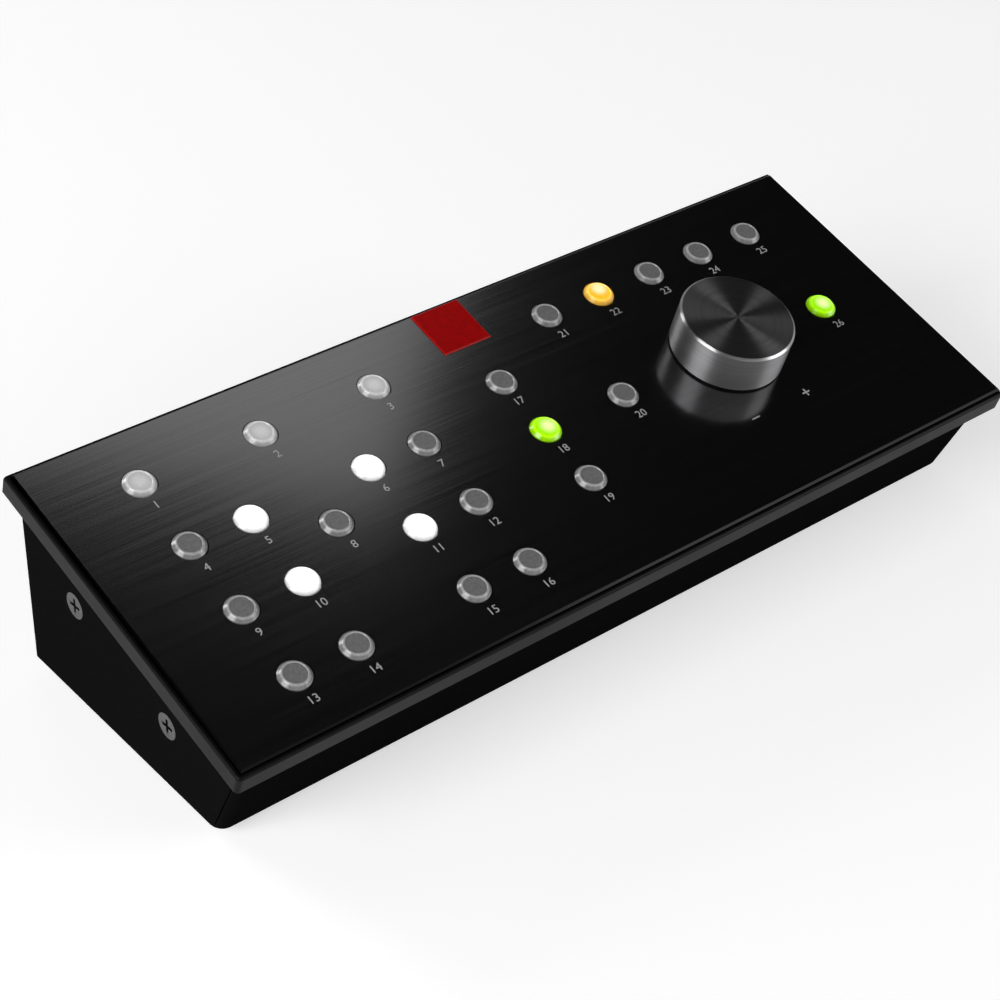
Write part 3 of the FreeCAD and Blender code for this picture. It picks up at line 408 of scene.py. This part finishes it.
def printed(text, x, v, height):
    """The points and faces of one mark, flat on the plate and centred on its place."""
    curve = bpy.data.curves.new("mark", "FONT")
    curve.body = text
    curve.align_x = "CENTER"
    curve.align_y = "CENTER"
    curve.size = height / DIGIT_SHARE
    curve.extrude = INK_THICK / 2
    curve.resolution_u = 3
    holder = bpy.data.objects.new("mark", curve)
    bpy.context.scene.collection.objects.link(holder)
    flat = bpy.data.meshes.new_from_object(holder.evaluated_get(bpy.context.evaluated_depsgraph_get()))
    points = np.empty(3 * len(flat.vertices))
    flat.vertices.foreach_get("co", points)
    points = points.reshape(-1, 3)
    placed = on_panel(points[:, 0] + x, points[:, 1] + v, points[:, 2] + PLATE_TOP + INK_THICK / 2)
    faces = [list(face.vertices) for face in flat.polygons]
    bpy.data.objects.remove(holder)
    bpy.data.curves.remove(curve)
    bpy.data.meshes.remove(flat)
    return placed, faces


ink_points, ink_faces, used = [], [], 0
for text, x, v in marks:
    placed, faces = printed(text, x, v, MARK_HEIGHT if text.isdigit() else KNOB_MARK_HEIGHT)
    ink_points.append(placed)
    ink_faces += [[corner + used for corner in face] for face in faces]
    used += len(placed)
numbers = mesh_of("plate_numbers", np.concatenate(ink_points), ink_faces)
ink = coated("grey_ink", (0.42, 0.42, 0.42), (0.42, 0.42, 0.42), 0.6, 2400.0, 0.2, 0.3)
dress(ink, numbers)
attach(numbers, "chassis")

# The badge is a small square of steel under plain red enamel, glued on flush with the back
# edge of the plate.

# the badge's edges are painted a lighter red, a painted highlight
enamel = skinned("red_enamel", (0.33, 0.0008, 0.0012), (0.55, 0.02, 0.02), (0.25, 0.4), 500.0, (0.1, 0.00003),
                 0.0005, (0.0, 1.0), **{"Specular IOR Level": 0.1})
dress(enamel, "badge")

# Each cap is moulded in one piece of milky plastic: a flat top with a raised rim, a cone
# side, a square flange that keeps it under the lid, and a stem that stands in its switch.
# Seven are lit from below, and the first three glow faintly.

CAP_SIDE = 0.0048
SEGMENTS = 96
CORNER_REACH = 1.36
CREASE = math.radians(30.0)


def skin_of(name, shells, planar=None):
    """Closed skins over rings of points, each listed from its bottom middle outwards and up to its top
    middle. Four-sided faces join each ring to the next, and a fan closes the first and the last on their
    middle point."""
    points, faces, used = [], [], 0
    for rings in shells:
        count, around = rings.shape[:2]
        points += [rings.reshape(-1, 3), rings[[0, -1]].mean(axis=1)]
        i, j = np.meshgrid(np.arange(count - 1), np.arange(around), indexing="ij")
        a = used + (i * around + j).ravel()
        b = used + (i * around + (j + 1) % around).ravel()
        j = used + np.arange(around)
        k = used + (np.arange(around) + 1) % around
        low, top = used + count * around, (count - 1) * around
        faces += np.stack([a, b, b + around, a + around], axis=1).tolist()
        faces += np.stack([np.full(around, low), k, j], axis=1).tolist()
        faces += np.stack([np.full(around, low + 1), top + j, top + k], axis=1).tolist()
        used += count * around + 2
    piece = mesh_of(name, np.concatenate(points), faces)
    mesh = piece.data
    mesh.polygons.foreach_set("use_smooth", np.ones(len(mesh.polygons), bool))
    mesh.set_sharp_from_angle(angle=CREASE)
    if planar is not None:
        flat = np.concatenate([planar.reshape(-1, 2), planar[[0, -1]].mean(axis=1)])
        corner = np.empty(len(mesh.loops), int)
        mesh.loops.foreach_get("vertex_index", corner)
        mesh.uv_layers.new(name="face_on").data.foreach_set("uv", flat[corner].ravel())
    return piece


def button_rings(x, v, profile):
    """Rings about the line through (x, v) square to the panel. Each profile row gives a half width, a
    height and a squareness: the half width divided by the larger of cosine and sine is a square, by one
    a circle."""
    angle = np.linspace(0, 2 * math.pi, SEGMENTS, endpoint=False)
    half, height, square = [np.array(c)[:, None] for c in zip(*profile)]
    corner = np.minimum(1.0 / np.maximum(abs(np.cos(angle)), abs(np.sin(angle))), CORNER_REACH)[None, :]
    radius = half * (square * corner + (1.0 - square))
    across, along = radius * np.cos(angle), radius * np.sin(angle)
    planar = np.stack([across / (2 * CAP_SIDE) + 0.5, along / (2 * CAP_SIDE) + 0.5], axis=-1)
    return on_panel(x + across, v + along, height + 0 * across), planar


# half width, height over the lid's top, squareness, in metres
FLANGE_TOP, FLANGE_LOW, STEM_END = -0.0016, -0.0026, -0.0072
CAP_PROFILE = [
    (0.0004, STEM_END, 1), (0.00134, STEM_END, 1), (0.0014, STEM_END + 0.00006, 1),
    (0.0014, FLANGE_LOW - 0.00002, 1), (0.00141, FLANGE_LOW, 1), (0.0057, FLANGE_LOW, 1),
    (0.0058, FLANGE_LOW + 0.00008, 1), (0.0058, FLANGE_TOP - 0.00008, 1), (0.0057, FLANGE_TOP, 1),
    (0.00485, FLANGE_TOP, 0), (0.0048, FLANGE_TOP, 0), (0.0048, 0.00152, 0), (0.00478, 0.00164, 0),
    (0.00469, 0.00174, 0), (0.0043, 0.00213, 0), (0.00395, 0.00249, 0), (0.00384, 0.00262, 0),
    (0.00371, 0.0027, 0), (0.00355, 0.00274, 0), (0.00343, 0.0027, 0), (0.00336, 0.0026, 0),
    (0.00331, 0.00255, 0), (0.0031, 0.00254, 0), (0.002, 0.00254, 0), (0.0008, 0.00254, 0)]

# shares of the cap's width from its middle: the disc's edge, the end of the painted highlight on the raised
# rim, the lamp's patch and its fading; and the highlight's gain
DISC_EDGE, HIGHLIGHT_RING_EDGE, HIGHLIGHT_RING_GAIN = (0.338, 0.348), (0.41, 0.44), 0.9
GLOW_PATCH, GLOW_FADE, GLOW_LEAST = (0.06, 0.36), (0.36, 0.5), 0.25
UNLIT_TOP, UNLIT_SIDE = (0.17, 0.17, 0.171, 1), (0.19, 0.19, 0.193, 1)


def cap_plastic(name, top, side, glow=None, hot=None, shift=(0.5, 0.5), strength=1.0):
    """Milky plastic: one tone on the disc, another on the rim and cone, a painted highlight lightening the
    raised rim, and a lamp's patch if it is lit.
    """
    material, tree, shader = new_finish(name)
    face = fed(tree, "ShaderNodeUVMap", uv_map="face_on")
    centred = vectors(tree, "SUBTRACT", face.outputs[0], (0.5, 0.5, 0.0))
    reach = vectors(tree, "LENGTH", centred.outputs[0])
    rim = ramp(tree, reach.outputs["Value"], DISC_EDGE)
    highlight_ring = ramp(tree, reach.outputs["Value"], HIGHLIGHT_RING_EDGE, (1.0, 0.0))
    highlight_ring = maths(tree, "MULTIPLY", rim.outputs[0], highlight_ring.outputs[0])
    skin = use_effect(tree, skin_grain, {"Scale": 1300.0})
    tint = blend(tree, rim.outputs[0], top, side)
    # the raised rim is painted lighter, a painted highlight
    clear = maths(tree, "MULTIPLY_ADD", highlight_ring.outputs[0], HIGHLIGHT_RING_GAIN, 1.0)
    clear = vectors(tree, "MULTIPLY", tint.outputs[2], clear.outputs[0])
    base = vectors(tree, "MULTIPLY", clear.outputs[0], skin.outputs["Tone"])
    gloss = ramp(tree, skin.outputs["Smudge"], NOISE_SPREAD, (0.16, 0.24))
    dents = bumps(tree, skin.outputs["Height"], 0.06, 0.00003)
    set_sockets(tree, shader, {"Base Color": base.outputs[0], "Roughness": gloss.outputs[0],
                               "Normal": dents.outputs[0], "Specular IOR Level": 0.5})
    if glow:
        away = vectors(tree, "DISTANCE", face.outputs[0], (shift[0], shift[1], 0.0))
        spot = ramp(tree, away.outputs["Value"], GLOW_PATCH, (1.0, 0.0), interpolation_type="SMOOTHSTEP")
        light = blend(tree, spot.outputs[0], glow, hot)
        fade = ramp(tree, reach.outputs["Value"], GLOW_FADE, (1.0, GLOW_LEAST))
        lit = vectors(tree, "MULTIPLY", light.outputs[2], fade.outputs[0])
        set_sockets(tree, shader, {"Emission Color": lit.outputs[0], "Emission Strength": strength})
    return material


dark_cap = cap_plastic("cap_plastic_unlit", UNLIT_TOP, UNLIT_SIDE)
dim_cap = cap_plastic("cap_plastic_dim", UNLIT_TOP, UNLIT_SIDE, (0.3, 0.3, 0.3, 1), (0.42, 0.42, 0.42, 1))
# the seven lit caps' tones are painted light as well as glowing: lighter on the disc than on the cone, and
# white, green and amber from their lamps
lit_white_cap = cap_plastic("cap_plastic_lit_white", (0.6, 0.6, 0.6, 1), (0.45, 0.45, 0.45, 1),
                        (0.95, 0.95, 0.95, 1), (1, 1, 1, 1))
lit_green_cap = cap_plastic("cap_plastic_lit_green", (0.2, 0.5, 0.0, 1), (0.2, 0.45, 0.0, 1),
                        (0.3, 0.75, 0.0, 1), (0.95, 1.0, 0.5, 1), (0.58, 0.52), 0.85)
lit_amber_cap = cap_plastic("cap_plastic_lit_amber", (0.6, 0.35, 0.02, 1), (0.5, 0.3, 0.05, 1),
                        (0.85, 0.42, 0.02, 1), (1.0, 0.92, 0.62, 1), (0.56, 0.62), 0.85)
LIT = {22: (lit_amber_cap, "cap_amber"), 18: (lit_green_cap, "cap_green"), 26: (lit_green_cap, "cap_green")}
LIT |= dict.fromkeys((1, 2, 3), (dim_cap, "cap_grey"))
LIT |= dict.fromkeys((5, 6, 10, 11), (lit_white_cap, "cap_white"))
for index, (_, x, v) in enumerate(marks[:CAP_COUNT], start=1):
    rings, planar = button_rings(x, v + MARK_DROP, CAP_PROFILE)
    cap = skin_of(f"cap_{index:02d}", [rings], planar)
    material, finish = LIT.get(index, (dark_cap, "cap_grey"))
    dress(material, cap)
    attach(cap, f"button_{index:02d}")
    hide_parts(f"button_{index:02d}")

# The knob is turned from aluminium and anodised dark grey: a hollow shell with a spun
# top, a bright-cut chamfer and a side with fine turning lines, pressed over a plastic hub.

KNOB_X, KNOB_V = 0.0727, 0.05575
KNOB_FOOT, KNOB_TOP = 0.0022, 0.0154
KNOB_SIDE = 0.0181
KNOB_WALL, KNOB_ROOF, KNOB_CHAMFER = 0.0022, 0.002, 0.0006
KNOB_AROUND = 256
KNOB_GREY, CUT_GREY = (0.23, 0.23, 0.235), (0.5, 0.5, 0.51, 1.0)
KNOB_GLOSS, SIDE_ROUGHER, CUT_BLUR = (0.31, 0.36), 0.16, 0.00012


def turned_rings(x, v, profile, around):
    """Rings of a turned piece about the line through (x, v) square to the panel. Each row of the profile
    gives a radius and a height."""
    angle = np.linspace(0, 2 * math.pi, around, endpoint=False)
    radius, height = [np.array(c)[:, None] for c in zip(*profile)]
    across, along = radius * np.cos(angle), radius * np.sin(angle)
    return on_panel(x + across, v + along, height + 0 * across)


inner = KNOB_SIDE - KNOB_WALL
KNOB_CUT = KNOB_SIDE - KNOB_CHAMFER
knob_profile = [
    (0.001, KNOB_TOP - KNOB_ROOF), (inner - 0.0004, KNOB_TOP - KNOB_ROOF),
    (inner, KNOB_TOP - KNOB_ROOF - 0.0004), (inner, KNOB_FOOT + 0.0001), (inner + 0.0001, KNOB_FOOT),
    (KNOB_SIDE - 0.0003, KNOB_FOOT), (KNOB_SIDE - 0.00008, KNOB_FOOT + 0.0001),
    (KNOB_SIDE, KNOB_FOOT + 0.0003), (KNOB_SIDE, KNOB_TOP - KNOB_CHAMFER - 0.00005),
    (KNOB_SIDE - 0.00005, KNOB_TOP - KNOB_CHAMFER), (KNOB_CUT, KNOB_TOP - 0.00005),
    (KNOB_CUT - 0.00008, KNOB_TOP)]
knob_profile += [(r, KNOB_TOP) for r in (0.0168, 0.015, 0.012, 0.009, 0.006, 0.003, 0.001)]
knob = skin_of("knob_turned_shell", [turned_rings(KNOB_X, KNOB_V, knob_profile, KNOB_AROUND)])

spun, tree, shader = new_finish("spun_dark_aluminium")
centre = on_panel(KNOB_X, KNOB_V, KNOB_TOP)
coord = fed(tree, "ShaderNodeTexCoord")
arm = vectors(tree, "SUBTRACT", coord.outputs["Object"], tuple(centre))
depth = vectors(tree, "DOT_PRODUCT", arm.outputs[0], OUTWARD)
around = vectors(tree, "CROSS_PRODUCT", OUTWARD, arm.outputs[0])
reach = vectors(tree, "LENGTH", around.outputs[0])
fine = fed(tree, "ShaderNodeCombineXYZ", {0: reach.outputs["Value"], 1: depth.outputs["Value"]})
groove = noise(tree, fine.outputs[0], 5200.0, 2.0)
coarse = noise(tree, fine.outputs[0], 900.0, 2.0)
tone = ramp(tree, coarse.outputs[0], NOISE_SPREAD, (0.9, 1.1))
shade = vectors(tree, "MULTIPLY", KNOB_GREY, tone.outputs[0])
radial = ramp(tree, reach.outputs["Value"], (KNOB_CUT - CUT_BLUR, KNOB_CUT))
low = ramp(tree, depth.outputs["Value"], (-KNOB_CHAMFER - CUT_BLUR, -KNOB_CHAMFER))
cut = maths(tree, "MULTIPLY", radial.outputs[0], low.outputs[0])
paint = blend(tree, cut.outputs[0], shade.outputs[0], CUT_GREY)
lines = bumps(tree, groove.outputs[0], 0.05, 0.00001)
gloss = ramp(tree, coarse.outputs[0], NOISE_SPREAD, KNOB_GLOSS)
flank = ramp(tree, depth.outputs["Value"], (-KNOB_CHAMFER, -KNOB_CHAMFER - 0.0001))
gloss = maths(tree, "MULTIPLY_ADD", flank.outputs[0], SIDE_ROUGHER, gloss.outputs[0])
set_sockets(tree, shader, {"Base Color": paint.outputs[2], "Metallic": 1.0, "Roughness": gloss.outputs[0],
                           "Normal": lines.outputs[0], "Anisotropic": 0.95, "Anisotropic Rotation": 0.25,
                           "Specular Tint": (0.4, 0.4, 0.4, 1.0), "Tangent": around.outputs[0]})
dress(spun, knob)
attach(knob, "volume_knob")
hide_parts("knob_shell")
dress(black_moulding, "knob_hub")

# The base pan is a folded tray of steel in a deeper, matt black coat. Its front wall leans
# under the lid and meets the side walls on rounded corners with a seam.

pan_coat = coated("pan_coat", (0.006, 0.006, 0.006), (0.012, 0.012, 0.012), 0.55, 1300.0, 0.3, 0.0)
dress(pan_coat, "base_pan")

# Countersunk screws of blacked steel with cross recesses hold the pan to the lid, two on each
# side. They pass through the pan's side walls into the press nuts of the brackets.

BODY_HALF = 0.1409
SIDE_SCREW_V = (0.0346, 0.08)
SIDE_SCREW_DROP = 0.022
SCREW_SEGMENTS = 64
SCREW_THREAD, SCREW_LENGTH, SCREW_PITCH = 0.002, 0.008, 0.0007
SCREW_RECESS = (0.00052, 0.0024, 0.0013)
screw_black = plated("blacked_steel", (0.09, 0.09, 0.092), 0.36, 1500.0)


def screw_rings(origin, out, head, thread, length, pitch, recess):
    """Rings of one screw whose head faces along out, from its tip to the middle of its cross recess.
    The thread is a ridge whose height falls and rises once each pitch along the axis and once round it.
    The recess at an angle reaches its arm's length or its half width over the sine of the angle from the
    nearest arm, whichever is less. The head's rows are radius and depth under the face at origin."""
    out = np.array(out, float)
    side = np.cross(out, (0.0, 1.0, 0.0) if abs(out[1]) < 0.9 else (1.0, 0.0, 0.0))
    side /= np.linalg.norm(side)
    across = np.cross(out, side)
    angle = np.linspace(0, 2 * math.pi, SCREW_SEGMENTS, endpoint=False)
    low = -length
    high = -head[0][1]
    steps = np.arange(low + pitch / 2, high, pitch / 4)
    phase = steps[:, None] / pitch - angle[None, :] / (2 * math.pi)
    ridge = abs(2 * (phase - np.floor(phase)) - 1)
    radius = [np.full(SCREW_SEGMENTS, thread * share) for share in (0.1, 0.72, 0.86)]
    radius += list(thread - 0.3 * pitch * ridge)
    height = [low, low, low + pitch / 4] + list(steps)
    for size, depth in head:
        radius.append(np.full(SCREW_SEGMENTS, size))
        height.append(-depth)
    width, arm, deep = recess
    turn = abs((angle + math.pi / 4) % (math.pi / 2) - math.pi / 4)
    cross = np.minimum(arm, width / np.maximum(np.sin(turn), 1e-6))
    radius += [cross * 1.07, cross, cross * 0.78, cross * 0.3]
    height += [0.0, -0.00005, -deep, -deep * 1.1]
    radius, height = np.array(radius), np.array(height)[:, None]
    spoke = np.cos(angle)[:, None] * side + np.sin(angle)[:, None] * across
    return np.array(origin) + radius[..., None] * spoke + height[..., None] * out


countersunk = [(0.00205, 0.00195), (0.00385, 0.00012), (0.00396, 0.00006), (0.00396, 0.0), (0.0038, 0.0)]
side_screws = []
for sign in (-1, 1):
    for v in SIDE_SCREW_V:
        y, z = on_panel(0.0, v, -SIDE_SCREW_DROP)[1:]
        side_screws.append(screw_rings((sign * BODY_HALF, y, z), (sign, 0, 0), countersunk,
                                       SCREW_THREAD, SCREW_LENGTH, SCREW_PITCH, SCREW_RECESS))
screws = skin_of("cross_side_screws", side_screws)
dress(screw_black, screws)
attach(screws, "chassis")
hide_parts("side_screws")

# The data socket stands on a small board at the back, held by posts and screws, and a flat
# ribbon with a header at each end joins it to the control board.

gold = plated("gold_flash", (0.8, 0.58, 0.2), 0.25, 900.0)
ribbon_skin = coated("ribbon_skin", (0.3, 0.3, 0.31), (0.36, 0.36, 0.37), 0.5, 700.0, 0.2, 0.4)
dress(black_moulding, "data_socket", "ribbon_headers")
dress(gold, "socket_contacts")
dress(zinc, "socket_posts", "socket_screws")
dress(ribbon_skin, "ribbon_cable")

# Four moulded rubber feet lift the pan off the desk. A screw sunk in the bore of each one
# holds it to the pan's floor, with a nut on the inside.

rubber = coated("foot_rubber_skin", (0.018, 0.018, 0.018), (0.03, 0.03, 0.03), 0.75, 1500.0, 0.4, 0.25)
dress(rubber, "rubber_feet")
dress(zinc, "foot_screws", "foot_nuts")
